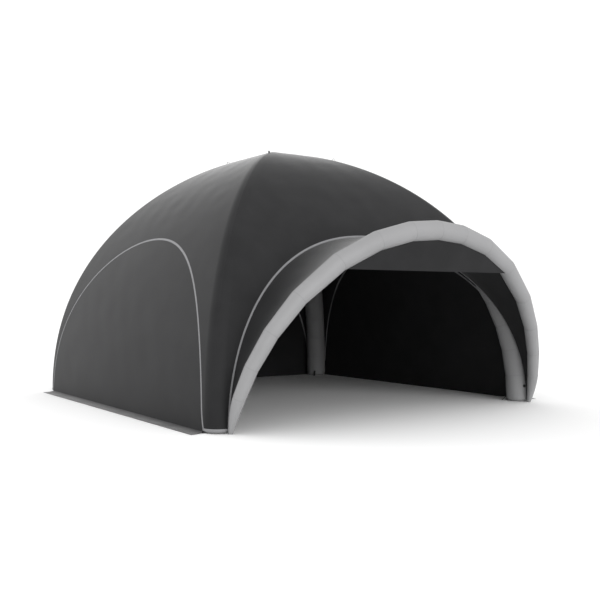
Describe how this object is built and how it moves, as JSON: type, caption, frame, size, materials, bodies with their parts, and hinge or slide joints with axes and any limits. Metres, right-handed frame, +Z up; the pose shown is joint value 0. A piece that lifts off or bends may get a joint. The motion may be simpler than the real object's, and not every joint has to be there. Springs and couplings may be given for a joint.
{
  "type": "inflatable dome tent",
  "caption": "Inflatable dome tent on crossing air tubes, with zipped walls, ground skirts and an open front under an arched porch.",
  "frame": {"origin": "on the ground, at the middle of the whole tent's outline with its porch and skirts", "axes": "+Z up, the porch and open front towards -Y, +X to the right of someone who looks in from the porch"},
  "size_m": [6.3832, 7.1082, 4.1266],
  "materials": {
    "dome_cloth": "matt",
    "wall_cloth": "matt",
    "tube_cloth": "satin",
    "zip_tape": "matt",
    "valve_plastic": "satin",
    "webbing": "matt"
  },
  "bodies": {
    "root": {"leg_front_left": "tube_cloth", "leg_front_right": "tube_cloth", "leg_back_left": "tube_cloth", "leg_back_right": "tube_cloth", "crown_joint": "tube_cloth", "roof_panel_front": "dome_cloth", "roof_panel_left": "dome_cloth", "roof_panel_back": "dome_cloth", "roof_panel_right": "dome_cloth", "wall_left": "wall_cloth", "wall_back": "wall_cloth", "wall_right": "wall_cloth", "skirt_left": "dome_cloth", "skirt_back": "dome_cloth", "skirt_right": "dome_cloth", "zip_front": "zip_tape", "zip_left": "zip_tape", "zip_back": "zip_tape", "zip_right": "zip_tape", "hem_front_left": "zip_tape", "hem_front_right": "zip_tape", "hem_back_left": "zip_tape", "hem_back_right": "zip_tape", "porch_arch": "tube_cloth", "porch_canopy": "dome_cloth", "valance": "dome_cloth", "valve_front_left": "valve_plastic", "valve_front_right": "valve_plastic", "valve_back_left": "valve_plastic", "valve_back_right": "valve_plastic", "anchor_tab_front_left": "webbing", "anchor_tab_front_right": "webbing", "anchor_tab_back_left": "webbing", "anchor_tab_back_right": "webbing", "ridge_loop_front_left": "webbing", "ridge_loop_front_right": "webbing", "ridge_loop_back_left": "webbing", "ridge_loop_back_right": "webbing"}
  },
  "joints": []
}
